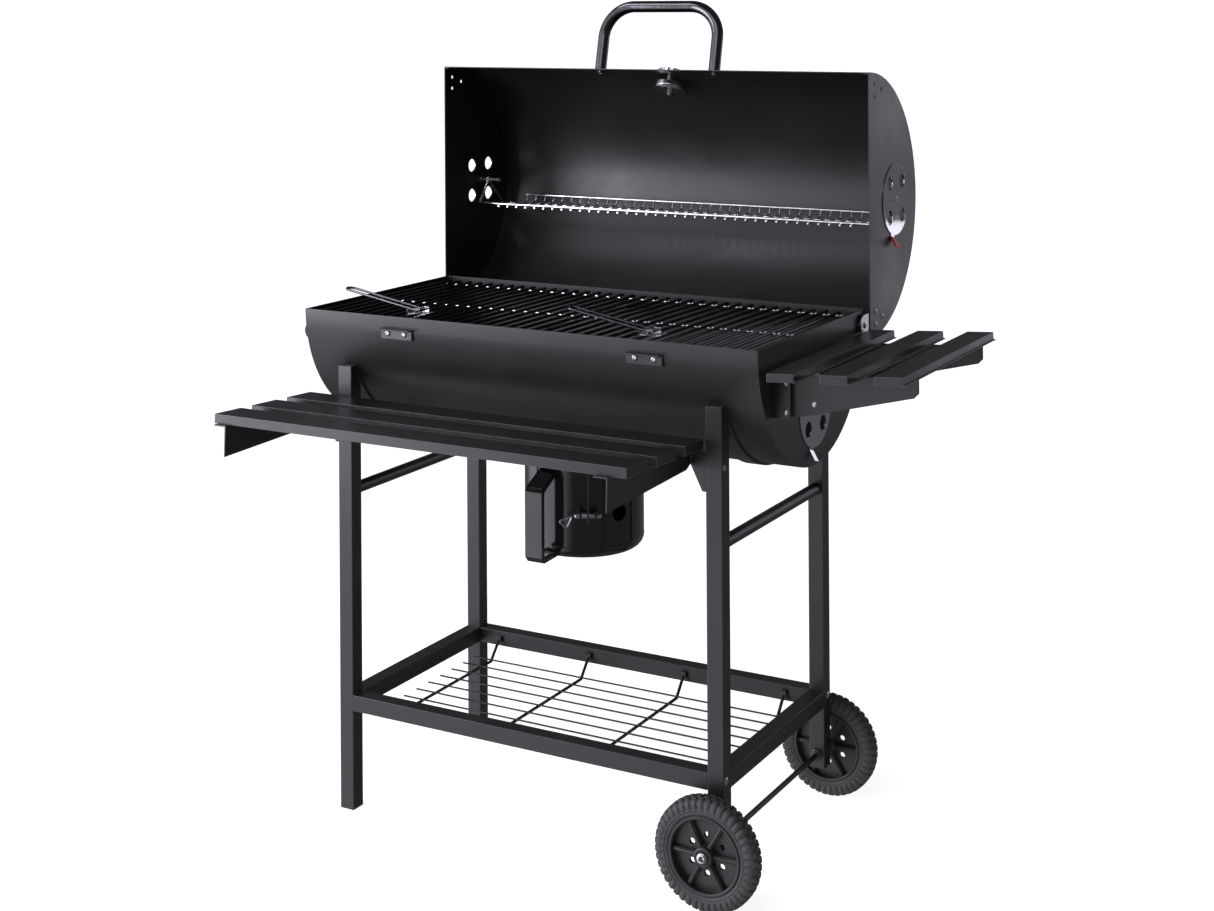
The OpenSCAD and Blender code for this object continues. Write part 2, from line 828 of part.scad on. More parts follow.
// Plastic plugs in the legs' lower ends
module leg_caps() {
    plug = tube - 2 * wall - 0.2;
    color("#0f0f10") place() for (x = ends, y = ends)
        translate([x * wheel_x, y * (leg_y - tube / 2), x > 0 ? leg_foot : 0]) {
            translate([-tube / 2, -tube / 2, 0]) cube([tube, tube, cap_t]);
            translate([-plug / 2, -plug / 2, 0]) cube([plug, plug, cap_t + 8]);
        }
}

// Curved steel straps that the bowl lies in, from leg to leg
module cradle_straps() {
    color("#1d1d1f") place() for (s = ends)
        translate([s > 0 ? leg_in_x : -leg_x, 0, 0]) intersection() {
            bowl_place() difference() {
                along_x(0, tube, strap_r + strap_t);
                along_x(-1, tube + 1, strap_r);
            }
            translate([0, -bowl_r - 10, rim_z - bowl_r - 10])
                cube([tube, 2 * bowl_r + 20, leg_top + bowl_r + 10 - rim_z]);
        }
}

module box_tube(size, along) {
    t = wall;
    difference() {
        cube(size);
        if (along == "x") translate([-1, t, t]) cube([size[0] + 2, size[1] - 2 * t, size[2] - 2 * t]);
        else translate([t, -1, t]) cube([size[0] - 2 * t, size[1] + 2, size[2] - 2 * t]);
    }
}

// Long rails between the legs, front and back
module lower_rails() {
    color("#252527") place() for (s = ends)
        translate([-leg_in_x, s > 0 ? leg_in_y : -leg_y, low_rail_z])
            box_tube([2 * leg_in_x, tube, tube], "x");
}

// Short rails between the legs at both ends
module lower_side_rails() {
    color("#252527") place() for (s = ends)
        translate([s > 0 ? leg_in_x : -leg_x, -leg_in_y, low_rail_z])
            box_tube([tube, 2 * leg_in_y, tube], "y");
}

// Round rails between the legs, half way up
module upper_side_rails() {
    color("#252527") place() for (s = ends)
        translate([s * wheel_x, 0, up_rail_z]) rotate([90, 0, 0])
            cylinder(h = 2 * leg_in_y, r = up_rail_r, center = true, $fn = 64);
}

// Wire shelf that hangs between the lower rails
module bottom_shelf() {
    hook_z = 170;
    bend_y = leg_in_y - 30;
    hook_y = leg_in_y - wire_r;
    color("#161617") place() {
        for (x = cross_wires) {
            wire([[x, -hook_y, hook_z], [x, -bend_y, shelf_wire_z],
                  [x, bend_y, shelf_wire_z], [x, hook_y, hook_z]], wire_r);
            for (s = ends)
                translate([x, s * (leg_in_y - 3), hook_z]) cube([9, 6, 9], center = true);
        }
        for (i = [0 : long_wires - 1]) {
            y = (i - (long_wires - 1) / 2) * long_wire_pitch;
            z = shelf_wire_z + wire_r + long_wire_r - 0.4;
            rod([-304, y, z], [304, y, z], long_wire_r);
        }
    }
}

// ---- Shelves ----

// Folded sheet slat, open below, its top in the plane z = 0
module slat(size, height) {
    difference() {
        translate([0, 0, -height]) cube([size[0], size[1], height]);
        translate([sheet, sheet, -height - 1])
            cube([size[0] - 2 * sheet, size[1] - 2 * sheet, height + 1 - sheet]);
    }
}

// Looks along the front shelf: -Y runs forwards up its slope
module front_shelf_place() {
    place() translate([front_x, front_y, front_z]) rotate([-front_tilt, 0, 0]) children();
}

module front_slat(i) {
    color("#232325") front_shelf_place()
        translate([0, -i * front_pitch - front_slat_w, 0]) slat([front_slat_len, front_slat_w], front_slat_h);
}

module front_slat_inner() {
    front_slat(0);
}

module front_slat_middle() {
    front_slat(1);
}

module front_slat_outer() {
    front_slat(2);
}

// Two alike brackets that carry the front shelf on the front legs
module front_shelf_brackets() {
    deep = bracket_deep;
    color("#1d1d1f") for (x = front_bracket_x) {
        front_shelf_place() translate([x - front_x, 0, -front_slat_h]) {
            translate([-plate_t, 0, 0]) rotate([90, 0, 90]) linear_extrude(plate_t)
                polygon([[9, -6], [9, -24], [-4, -31], [-deep, -bracket_drop], [-deep, 0], [-6, 0]]);
            translate([-22, -deep, -plate_t]) cube([22, deep - 8, plate_t]);
        }
        gusset = (x < 0 ? -leg_x : leg_in_x) - x + plate_t;
        place() translate([x - plate_t, plate_t - leg_y, 0]) rotate([90, 0, 0]) linear_extrude(plate_t)
            polygon([[0, 622], [0, 640], [gusset, 640], [gusset, 582], [gusset - 6, 582]]);
    }
}

// Looks along the side shelf: +X runs outwards up its slope
module side_shelf_place() {
    place() translate([side_x, side_y[0], side_z]) rotate([0, -side_tilt, 0]) children();
}

module side_slat(i) {
    long = side_y[1] - side_y[0];
    color("#232325") side_shelf_place() translate([i * side_pitch, 0, 0]) {
        slat([side_slat_w, long], side_slat_h);
        translate([side_slat_w - sheet, 0, -side_slat_h]) cube([side_lip + sheet, long, sheet * 0.8]);
    }
}

module side_slat_inner() {
    side_slat(0);
}

module side_slat_middle() {
    side_slat(1);
}

module side_slat_outer() {
    side_slat(2);
}

// Tapered arms of the side shelf, each with the angle that joins it to the bowl's end
module side_shelf_brackets() {
    root = bowl_half + eps;
    color("#1d1d1f") place() for (s = ends) translate([0, s * side_bracket_y, 0]) {
        translate([0, s > 0 ? plate_t : 0, 0]) rotate([90, 0, 0]) linear_extrude(plate_t) difference() {
            polygon([[root + 2, 689], [root + 2, side_z - side_slat_h - 0.7],
                     [side_x + side_depth * cos(side_tilt) + 1,
                      side_z - side_slat_h + side_depth * sin(side_tilt)],
                     [side_x + side_depth * cos(side_tilt) + 1, 740],
                     [side_x + side_depth * cos(side_tilt) - 6, 733], [root + 42, 691]]);
        }
        translate([root, s > 0 ? -28 : -plate_t, 689]) cube([plate_t, 28 + plate_t, 56]);
        translate([root, s > 0 ? plate_t : -plate_t - 9, 687]) difference() {
            cube([26, 9, 56]);
            translate([2, s > 0 ? -1 : plate_t, -1]) cube([22, 8, 58]);
        }
    }
}

// Bolts of the cart and the shelves
module frame_fasteners() {
    color("#cfd1d3") place() {
        for (x = ends, y = ends) {
            translate([x * leg_x, y * (leg_y - 9), 618]) rotate([0, x * 90, 0]) bolt_head();
            translate([x * leg_x, y * (leg_y - 9), 172]) rotate([0, x * 90, 0]) bolt_head();
        }
        for (s = ends, z = [696, 738])
            translate([417.5, s * (side_bracket_y + plate_t + 9), z]) rotate([s > 0 ? -90 : 90, 0, 0])
                bolt_head(4.5, 2.2);
        for (s = ends)
            translate([457, s * (side_bracket_y + plate_t), 710])
                rotate([s > 0 ? -90 : 90, 0, 0]) bolt_head(4.5, 2.2);
    }
}

// ---- Wheels ----

module axle() {
    end_y = wheel_y + wheel_w / 2 + 8;
    color("#1a1a1b") place() translate([wheel_x, 0, wheel_r]) {
        rotate([90, 0, 0]) cylinder(h = 2 * end_y, r = axle_r, center = true, $fn = 64);
        for (s = ends) {
            translate([0, s * (end_y - 4), 0]) rotate([90, 0, 0])
                cylinder(h = 2, r = 8, center = true, $fn = 64);
            translate([0, s * (leg_y + 1.5), 0]) rotate([90, 0, 0])
                cylinder(h = 3, r = 8, center = true, $fn = 64);
        }
    }
}

// Moulded hub: rim, thin web with holes, six spokes and a long boss, axis along Z
module hub() {
    rim_out = 56;
    rim_in = 52;
    boss_r = 14;
    web = 5;
    difference() {
        union() {
            difference() {
                cylinder(h = wheel_w - 4, r = rim_out, center = true, $fn = 96);
                cylinder(h = wheel_w, r = rim_in, center = true, $fn = 96);
            }
            cylinder(h = web, r = rim_in + 1, center = true, $fn = 96);
            cylinder(h = wheel_w + 4, r = boss_r, center = true, $fn = 64);
            for (a = [0 : 60 : 300]) rotate([0, 0, a])
                translate([boss_r - 2, -3.5, -8]) cube([rim_in - boss_r + 3, 7, 16]);
        }
        cylinder(h = wheel_w + 10, r = axle_r + bore_play, center = true, $fn = 64);
        for (a = [30 : 60 : 330]) rotate([0, 0, a]) translate([27, 0, 0])
            cylinder(h = wheel_w, r = 4.5, center = true, $fn = 32);
    }
}

module tyre() {
    side_w = wheel_w / 2;
    shoulder = 7;
    rotate_extrude($fn = 128)
        polygon([[56.05, -side_w + 2], [60, -side_w + 1], [wheel_r - shoulder - 3, -side_w],
                 [wheel_r - 3, -side_w + 3], [wheel_r, -side_w + shoulder],
                 [wheel_r, side_w - shoulder], [wheel_r - 3, side_w - 3],
                 [wheel_r - shoulder - 3, side_w], [60, side_w - 1], [56.05, side_w - 2]]);
}

module wheel_place(s) {
    place() translate([wheel_x, s * wheel_y, wheel_r]) rotate([90, 0, 0]) children();
}

module wheel_hub_front() {
    color("#202021") wheel_place(-1) hub();
}

module wheel_hub_rear() {
    color("#202021") wheel_place(1) hub();
}

module tyre_front() {
    color("#2a2a2b") wheel_place(-1) tyre();
}

module tyre_rear() {
    color("#2a2a2b") wheel_place(1) tyre();
}

// ---- Ash can ----

// Half of the can's section, its wall and round corner grown by some clearance
module can_outline(grow) {
    square([can_r - can_corner, can_top - can_z]);
    translate([0, can_corner]) square([can_r + grow, can_top - can_z - can_corner]);
    translate([can_r - can_corner, can_corner]) circle(r = can_corner + grow, $fn = 64);
}

module ash_can() {
    t = 1.2;
    lug_out = pin_out + 8;
    color("#141415") place() difference() {
        union() {
            translate([0, 0, can_z]) rotate_extrude($fn = 128) difference() {
                can_outline(0);
                translate([0, can_corner]) square([can_r - t, can_top]);
                translate([0, t]) square([can_r - can_corner, can_corner]);
                translate([can_r - can_corner, can_corner]) circle(r = can_corner - t, $fn = 64);
            }
            rotate([0, 0, pin_at]) for (s = [-12, 12])
                translate([can_r - 0.8, s - 1.5, pin_z - 8]) cube([lug_out - can_r, 3, 16]);
        }
        rotate([0, 0, -25]) translate([can_r - 5, 0, 486]) along_x(-20, 20, 13);
        rotate([0, 0, pin_at]) translate([pin_out, 0, pin_z]) rotate([90, 0, 0])
            cylinder(h = 60, r = pin_r + bore_play, center = true, $fn = 48);
    }
}

// Bent strap on the can's front for pulling it down
module ash_can_handle() {
    strap_w = 30;
    strap_x = -22;
    t = 3;
    out = 145;
    color("#141415") place() difference() {
        translate([strap_x, 0, 0]) rotate([90, 0, 90]) linear_extrude(strap_w) polygon([
            [-can_r + 7, 423], [-out + 8, 421], [-out, 430], [-out, 530], [-out + 3, 536],
            [-can_r + 5, 560], [-can_r + 5, 556], [-out + 3 + t, 533], [-out + t, 529],
            [-out + t, 431], [-out + 9, 424], [-can_r + 7, 426]]);
        translate([0, 0, can_z]) rotate_extrude($fn = 128) can_outline(0.02);
    }
}

// Locking pin with its pull ring
module ash_can_pin() {
    ring_r = 1.6;
    color("#d0d2d4") place() rotate([0, 0, pin_at]) translate([pin_out, 0, pin_z]) {
        rotate([90, 0, 0]) cylinder(h = 42, r = pin_r, center = true, $fn = 48);
        translate([0, -31, -7]) rotate([0, 90, 0]) rotate_extrude($fn = 96)
            translate([13, 0]) circle(r = ring_r, $fn = 32);
    }
}

bowl_shell();
bowl_end_left();
bowl_end_right();
ash_collar();
bowl_fasteners();
lid_stops();
hinge_pins();
bowl_vent_left();
bowl_vent_right();
grate_supports();
carry_handle();
lid_shell();
lid_end_left();
lid_end_right();
lid_handle();
lid_fasteners();
hinge_plates();
lid_vent_left();
lid_vent_right();
thermometer_case();
thermometer_dial();
thermometer_needle();
thermometer_lens();
thermometer_probe();
warming_rack_pins();
warming_rack();
cooking_grate_left();
cooking_grate_right();
grate_handle_left();
grate_handle_right();
grate_clip_left();
grate_clip_right();
charcoal_grate();
leg_front_left();
leg_front_right();
leg_rear_left();
leg_rear_right();
leg_caps();
cradle_straps();
lower_rails();
lower_side_rails();
upper_side_rails();
bottom_shelf();
front_slat_inner();
front_slat_middle();
front_slat_outer();
front_shelf_brackets();
side_slat_inner();
side_slat_middle();
side_slat_outer();
side_shelf_brackets();
frame_fasteners();
axle();
wheel_hub_front();
wheel_hub_rear();
tyre_front();
tyre_rear();
ash_can();
ash_can_handle();
ash_can_pin();
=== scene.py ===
import json
import math
import random

import bmesh
import bpy
from mathutils import Matrix, Vector


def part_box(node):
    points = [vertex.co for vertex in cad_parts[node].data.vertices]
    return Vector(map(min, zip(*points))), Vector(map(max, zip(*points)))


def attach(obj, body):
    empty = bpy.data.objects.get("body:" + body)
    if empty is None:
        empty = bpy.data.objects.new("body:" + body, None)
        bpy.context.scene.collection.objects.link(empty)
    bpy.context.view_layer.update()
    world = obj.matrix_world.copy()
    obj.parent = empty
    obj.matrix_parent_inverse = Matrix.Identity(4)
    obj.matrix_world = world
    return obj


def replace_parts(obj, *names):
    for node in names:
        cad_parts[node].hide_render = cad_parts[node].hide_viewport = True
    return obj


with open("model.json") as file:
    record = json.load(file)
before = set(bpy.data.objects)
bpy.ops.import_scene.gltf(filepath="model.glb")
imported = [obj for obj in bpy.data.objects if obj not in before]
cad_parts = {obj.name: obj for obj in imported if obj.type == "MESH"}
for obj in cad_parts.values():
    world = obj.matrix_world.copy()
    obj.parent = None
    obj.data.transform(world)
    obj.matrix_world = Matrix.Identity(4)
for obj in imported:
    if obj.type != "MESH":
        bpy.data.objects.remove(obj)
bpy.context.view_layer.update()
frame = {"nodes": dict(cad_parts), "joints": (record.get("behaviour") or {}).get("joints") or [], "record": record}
random.seed(11)

MM = 0.001
X, Y, Z = Vector((1, 0, 0)), Vector((0, 1, 0)), Vector((0, 0, 1))


# ---- Places taken from the frame ----

def middle(node):
    low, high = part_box(node)
    return (low + high) / 2


def joint(name):
    """Position and axis of a joint of the frame."""
    found = next(j for j in frame["joints"] if j["name"] == name)
    return Vector(found.get("pos_m", (0, 0, 0))), Vector(found["axis"])


BARREL = middle("bowl_shell")
BARREL.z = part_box("bowl_shell")[1].z
PIN_OUT = 110 * MM          # of the locking pin's line from the can's axis
PIN_Z = 490 * MM
CAN_R = 95 * MM
BAR_R = 2.5 * MM            # of the grates' bars and rods


# ---- Materials ----

class Shader:
    """A node material: its Principled shader, and short ways to add nodes to it."""

    def __init__(self, name, **settings):
        self.material = bpy.data.materials.new(name)
        self.material.use_nodes = True
        self.tree = self.material.node_tree
        self.surface = self.tree.nodes["Principled BSDF"]
        for key, value in settings.items():
            self.surface.inputs[key.replace("_", " ")].default_value = value

    def add(self, kind, inputs=None, **settings):
        node = self.tree.nodes.new(kind)
        for key, value in settings.items():
            setattr(node, key, value)
        for key, value in (inputs or {}).items():
            self.set(node.inputs[key], value)
        return node

    def set(self, socket, value):
        if isinstance(value, bpy.types.NodeSocket):
            self.tree.links.new(value, socket)
        else:
            socket.default_value = value

    def place(self):
        return self.add("ShaderNodeTexCoord").outputs["Object"]

    def stretched(self, scale):
        """The place on the object, stretched along its axes."""
        return self.add("ShaderNodeMapping", {"Vector": self.place(), "Scale": scale}).outputs[0]

    def noise(self, scale, detail=3.0, rough=0.5, at=None):
        inputs = {"Vector": at or self.place(), "Scale": scale, "Detail": detail, "Roughness": rough}
        return self.add("ShaderNodeTexNoise", inputs).outputs["Fac"]

    def cells(self, scale):
        inputs = {"Vector": self.place(), "Scale": scale}
        return self.add("ShaderNodeTexVoronoi", inputs).outputs["Distance"]

    def span(self, value, low, high, to_low, to_high):
        inputs = {"Value": value, "From Min": low, "From Max": high, "To Min": to_low, "To Max": to_high}
        return self.add("ShaderNodeMapRange", inputs).outputs[0]

    def math(self, operation, a, b):
        return self.add("ShaderNodeMath", {0: a, 1: b}, operation=operation).outputs[0]

    def mix(self, share, a, b):
        node = self.add("ShaderNodeMix", data_type="RGBA")
        self.set(node.inputs[0], share)
        self.set(node.inputs[6], a)
        self.set(node.inputs[7], b)
        return node.outputs[2]

    def soft_normal(self, radius):
        return self.add("ShaderNodeBevel", {"Radius": radius}, samples=4).outputs[0]

    def edges(self, radius):
        """1 along the corners of the mesh, 0 on its faces."""
        flat = self.add("ShaderNodeNewGeometry").outputs["Normal"]
        pair = {0: self.soft_normal(radius), 1: flat}
        dot = self.add("ShaderNodeVectorMath", pair, operation="DOT_PRODUCT")
        return self.span(dot.outputs["Value"], 0.97, 0.8, 0.0, 1.0)

    def bump(self, height, strength, distance, normal=None):
        inputs = {"Height": height, "Strength": strength, "Distance": distance}
        if normal is not None:
            inputs["Normal"] = normal
        return self.add("ShaderNodeBump", inputs).outputs[0]

    def link(self, **outputs):
        for key, value in outputs.items():
            self.set(self.surface.inputs[key.replace("_", " ")], value)


def grey(value, tint=0.0):
    return (value * (1 - tint), value, value * (1 + tint), 1.0)


def powder_coat(name, base, gloss, grain=0.5, edge_wear_and_sheen=0.10, edge=0.9 * MM):
    """Painted steel: fine orange peel, a gloss that varies, paint thinned along the edges, and the edges painted
    lighter, partly as worn paint and partly as a painted edge highlight.
    """
    s = Shader(name)
    broad = s.noise(7.0, 4.0)
    patch = s.noise(60.0, 3.0)
    # Patchy edge mask: the lighter edge colour is worn paint and also a painted highlight along the edges.
    rim = s.math("MULTIPLY", s.edges(edge), s.span(patch, 0.25, 0.75, 0.55, 1.0))
    tone = s.mix(s.span(broad, 0.3, 0.7, 0.0, 1.0), grey(base * 0.86, 0.01), grey(base * 1.16, 0.02))
    specks = s.span(s.noise(420.0, 1.0), 0.70, 0.78, 0.0, 0.30)
    tone = s.mix(specks, tone, grey(base * 2.2))
    s.link(Base_Color=s.mix(rim, tone, grey(edge_wear_and_sheen, 0.01)))
    spread = s.math("ADD", s.span(broad, 0.3, 0.7, -0.05, 0.05), s.span(patch, 0.3, 0.7, -0.02, 0.02))
    s.link(Roughness=s.math("ADD", spread, gloss))
    peel = s.math("ADD", s.noise(900.0, 2.0), s.math("MULTIPLY", s.noise(240.0, 2.0), 0.6))
    s.link(Normal=s.bump(peel, grain, 0.06 * MM, s.soft_normal(edge)))
    return s.material


def enamel(name, base, gloss, edge=0.6 * MM):
    """Glossy vitreous enamel with slight waviness and pinholes."""
    s = Shader(name, Coat_Weight=0.6, Coat_Roughness=0.08)
    broad = s.noise(14.0, 3.0)
    s.link(Base_Color=s.mix(broad, grey(base * 0.7), grey(base * 1.4, 0.02)))
    s.link(Roughness=s.span(broad, 0.3, 0.7, gloss * 0.8, gloss * 1.5))
    waves = s.math("ADD", s.noise(70.0, 2.0), s.math("MULTIPLY", s.noise(600.0, 1.0), 0.12))
    s.link(Normal=s.bump(waves, 0.35, 0.12 * MM, s.soft_normal(edge)))
    return s.material


def bare_metal(name, tone, gloss, scratch=0.5, tarnish=0.8, edge=0.4 * MM):
    """Plated steel: hairline scratches, cloudy plating and brighter edges."""
    s = Shader(name, Metallic=1.0)
    cloud = s.noise(90.0, 4.0)
    lines = s.noise(60.0, 3.0, at=s.stretched((14.0, 1.0, 5.0)))
    dull = tuple(c * tarnish for c in tone[:3]) + (1.0,)
    body = s.mix(s.span(cloud, 0.3, 0.7, 0.0, 1.0), dull, tone)
    s.link(Base_Color=s.mix(s.edges(edge), body, tuple(min(1.0, c * 1.15) for c in tone[:3]) + (1.0,)))
    s.link(Roughness=s.math("ADD", s.span(cloud, 0.3, 0.7, gloss * 0.75, gloss * 1.25),
                            s.span(lines, 0.45, 0.65, 0.0, 0.08 * scratch)))
    s.link(Normal=s.bump(lines, 0.10 * scratch, 0.05 * MM, s.soft_normal(edge)))
    return s.material


def moulded(name, base, gloss, grain=0.35, edge=0.8 * MM):
    """Moulded plastic or rubber: fine spark texture, scuffs and dust."""
    s = Shader(name)
    dust = s.noise(35.0, 5.0, 0.6)
    rim = s.edges(edge)
    tone = s.mix(s.span(dust, 0.45, 0.75, 0.0, 1.0), grey(base, 0.01), grey(base * 1.5, 0.0))
    s.link(Base_Color=s.mix(s.math("MULTIPLY", rim, 0.5), tone, grey(base * 2.6)))
    s.link(Roughness=s.math("ADD", s.span(dust, 0.3, 0.7, -0.06, 0.08), gloss))
    texture = s.math("ADD", s.noise(1500.0, 2.0), s.math("MULTIPLY", s.cells(900.0), 0.5))
    s.link(Normal=s.bump(texture, grain, 0.05 * MM, s.soft_normal(edge)))
    return s.material


def print_white():
    """Painted dial face, very slightly yellowed."""
    s = Shader("dial_white")
    age = s.noise(120.0, 3.0)
    s.link(Base_Color=s.mix(age, (0.80, 0.79, 0.75, 1), (0.88, 0.87, 0.84, 1)))
    s.link(Roughness=s.span(age, 0.3, 0.7, 0.38, 0.5))
    s.link(Normal=s.bump(s.noise(900.0, 1.0), 0.2, 0.03 * MM))
    return s.material


def gloss_red():
    """Soft vinyl and lacquer in signal red."""
    s = Shader("signal_red")
    wear = s.noise(160.0, 3.0)
    s.link(Base_Color=s.mix(wear, (0.36, 0.010, 0.012, 1), (0.50, 0.022, 0.020, 1)))
    s.link(Roughness=s.span(wear, 0.3, 0.7, 0.26, 0.40))
    s.link(Normal=s.bump(wear, 0.3, 0.05 * MM, s.soft_normal(0.5 * MM)))
    return s.material


def clear_glass():
    s = Shader("clear_glass", Transmission_Weight=1.0, IOR=1.46)
    smear = s.noise(40.0, 3.0)
    s.link(Base_Color=s.mix(smear, (0.96, 0.98, 0.98, 1), (1.0, 1.0, 1.0, 1)))
    s.link(Roughness=s.span(smear, 0.4, 0.8, 0.0, 0.05))
    s.link(Normal=s.bump(smear, 0.05, 0.05 * MM))
    return s.material


MATERIALS = {
    # The fourth number of a powder coat is its edge tone: worn paint plus a painted edge highlight, strongest on
    # the slats (0.22).
    "barrel_black": powder_coat("barrel_black", 0.012, 0.38, 0.45, 0.05),
    "frame_black": powder_coat("frame_black", 0.011, 0.34, 0.5, 0.07, 2.2 * MM),
    "slat_black": powder_coat("slat_black", 0.009, 0.38, 0.6, 0.22, 1.3 * MM),
    "grip_black": moulded("grip_black", 0.013, 0.45),
    "handle_black_chrome": bare_metal("handle_black_chrome", (0.10, 0.10, 0.105, 1), 0.13, 0.4, 0.8),
    "vent_chrome": bare_metal("vent_chrome", (0.74, 0.74, 0.75, 1), 0.05, 0.4, 0.9),
    "wire_chrome": bare_metal("wire_chrome", (0.80, 0.80, 0.81, 1), 0.16, 0.4, 0.8),
    "zinc": bare_metal("zinc", (0.72, 0.72, 0.73, 1), 0.33, 0.6, 0.8),
    "grate_enamel": bare_metal("grate_enamel", (0.115, 0.115, 0.12, 1), 0.16, 0.5, 0.6),
    "shelf_wire_black": powder_coat("shelf_wire_black", 0.012, 0.32),
    "can_enamel": enamel("can_enamel", 0.006, 0.10, 0.9 * MM),
    "plastic_black": moulded("plastic_black", 0.018, 0.46),
    "tyre_rubber": moulded("tyre_rubber", 0.036, 0.60, 0.5, 1.0 * MM),
    "dial_white": print_white(),
    "signal_red": gloss_red(),
    "clear_glass": clear_glass(),
}

for part in frame["record"]["subparts"]:
    node = frame["nodes"][part["node"]]
    node.data.materials.clear()
    node.data.materials.append(MATERIALS[part["material_slot"]])


# ---- Mesh helpers ----

def piece(name, bm, body, slot_name, smooth_angle=40, subdivide=0):
    """Turns a bmesh in the frame's coordinates into a piece of the object that rides on a body."""
    bmesh.ops.recalc_face_normals(bm, faces=bm.faces)
    mesh = bpy.data.meshes.new(name)
    bm.to_mesh(mesh)
    bm.free()
    limit = math.radians(smooth_angle)
    mesh.polygons.foreach_set("use_smooth", [True] * len(mesh.polygons))
    made = bpy.data.objects.new(name, mesh)
    bpy.context.scene.collection.objects.link(made)
    mesh.set_sharp_from_angle(angle=limit)
    mesh.materials.append(MATERIALS[slot_name])
    if subdivide:
        smooth = made.modifiers.new("smooth", "SUBSURF")
        smooth.levels = subdivide
        smooth.render_levels = subdivide
    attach(made, body)
    return made


def turn(axis, start=None):
    """A matrix whose Z runs along the axis, standing on the start point."""
    z = Vector(axis).normalized()
    x = z.orthogonal().normalized() if abs(z.x) > 0.9 else (X - z * z.x).normalized()
    y = z.cross(x)
    rotation = Matrix((x, y, z)).transposed().to_4x4()
    return Matrix.Translation(start or Vector()) @ rotation


def ring_faces(bm, rings, closed_rows=False):
    """Quads between rings of vertices, each ring a closed loop."""
    count = len(rings)
    for i in range(count if closed_rows else count - 1):
        a, b = rings[i], rings[(i + 1) % count]
        for j in range(len(a)):
            k = (j + 1) % len(a)
            bm.faces.new((a[j], a[k], b[k], b[j]))


def lathe(bm, outline, place, steps=64):
    """Turns an open outline of (radius, height), which starts and ends on the axis, or a closed one."""
    closed = outline[0][0] > 0
    rings = []
    caps = []
    for r, h in outline:
        if r <= 0:
            caps.append(bm.verts.new(place @ Vector((0, 0, h))))
            rings.append(None)
            continue
        ring = []
        for k in range(steps):
            a = 2 * math.pi * k / steps
            ring.append(bm.verts.new(place @ Vector((r * math.cos(a), r * math.sin(a), h))))
        rings.append(ring)
    solid = [ring for ring in rings if ring]
    ring_faces(bm, solid, closed)
    if not closed:
        for tip, ring in ((caps[0], solid[0]), (caps[-1], solid[-1])):
            for k in range(steps):
                bm.faces.new((tip, ring[k], ring[(k + 1) % steps]))


def tube(bm, points, radius, sides=14, closed=False):
    """A round wire along points."""
    count = len(points)
    rings = []
    side = None
    for i, p in enumerate(points):
        before = points[i - 1] if i or closed else p
        after = points[(i + 1) % count] if i < count - 1 or closed else p
        along = (after - before).normalized()
        side = along.orthogonal() if side is None else side - along * side.dot(along)
        side.normalize()
        up = along.cross(side)
        ring = []
        for k in range(sides):
            a = 2 * math.pi * k / sides
            ring.append(bm.verts.new(p + radius * (math.cos(a) * side + math.sin(a) * up)))
        rings.append(ring)
    if closed:
        last, first = rings[-1], rings[0]
        shift = min(range(sides), key=lambda s: (first[s].co - last[0].co).length)
        rings.append(first[shift:] + first[:shift])
        ring_faces(bm, rings)
    else:
        ring_faces(bm, rings)
        bm.faces.new(rings[0])
        bm.faces.new(rings[-1])


def rounded(points, radius, closed=False, steps=7):
    """Points with their corners replaced by arcs of about that radius."""
    made = []
    count = len(points)
    for i, p in enumerate(points):
        if not closed and i in (0, count - 1):
            made.append(p)
            continue
        a, b = points[i - 1] - p, points[(i + 1) % count] - p
        cut = min(radius, a.length * 0.45, b.length * 0.45)
        start, end = p + a.normalized() * cut, p + b.normalized() * cut
        for k in range(steps + 1):
            t = k / steps
            made.append(start * (1 - t) ** 2 + p * 2 * t * (1 - t) + end * t * t)
    return made


def block(bm, size, place, bevel):
    """A box with rounded edges, centred on the place's origin."""
    made = bmesh.ops.create_cube(bm, size=1.0, matrix=place @ Matrix.Diagonal((*size, 1)))
    edges = list({e for v in made["verts"] for e in v.link_edges})
    bmesh.ops.bevel(bm, geom=edges, offset=bevel, segments=3, profile=0.6, affect="EDGES")


def bead(bm, start, end, width, lean):
    """A weld bead: overlapping ripples between two points, pressed flat against what it joins."""
    length = (end - start).length
    count = max(3, int(length / (width * 0.45)))
    along = (end - start).normalized()
    points = []
    for k in range(count * 4 + 1):
        t = k / (count * 4)
        wobble = width * 0.06 * math.sin(k * 2.4)
        points.append(start + along * (t * length) + lean * wobble)
    rings = []
    across = along.cross(lean).normalized()
    for k, p in enumerate(points):
        edge = min(1.0, (k + 0.6) / 2, (len(points) - 1 - k + 0.6) / 2)
        r = width / 2 * (0.82 + 0.18 * math.cos(k * math.pi / 2)) * math.sqrt(edge)
        ring = []
        for s in range(10):
            a = 2 * math.pi * s / 10
            ring.append(bm.verts.new(p + r * (math.cos(a) * lean * 0.8 + math.sin(a) * across)))
        rings.append(ring)
    ring_faces(bm, rings)
    bm.faces.new(rings[0])
    bm.faces.new(rings[-1])


# ---- Wheels ----

LUGS = 44
STEPS_TO_A_LUG = 10
RIM_R = 56.05 * MM
LUG_DEPTH = 2.3 * MM
RIBS_FROM = 0.785           # of the tyre's radius, where the ribs of the shoulder start


def smooth_step(low, high, value):
    t = min(1.0, max(0.0, (value - low) / (high - low)))
    return t * t * (3 - 2 * t)


def lug(angle, share, rows):
    """Height, 0 to 1, of a block pattern: one block to a lug's turn, moved half a block row by row."""
    at = (angle * LUGS / (2 * math.pi) + rows) % 1.0
    from_middle = abs(at - 0.5) * 2
    return 1 - smooth_step(share, share + 0.22, from_middle)


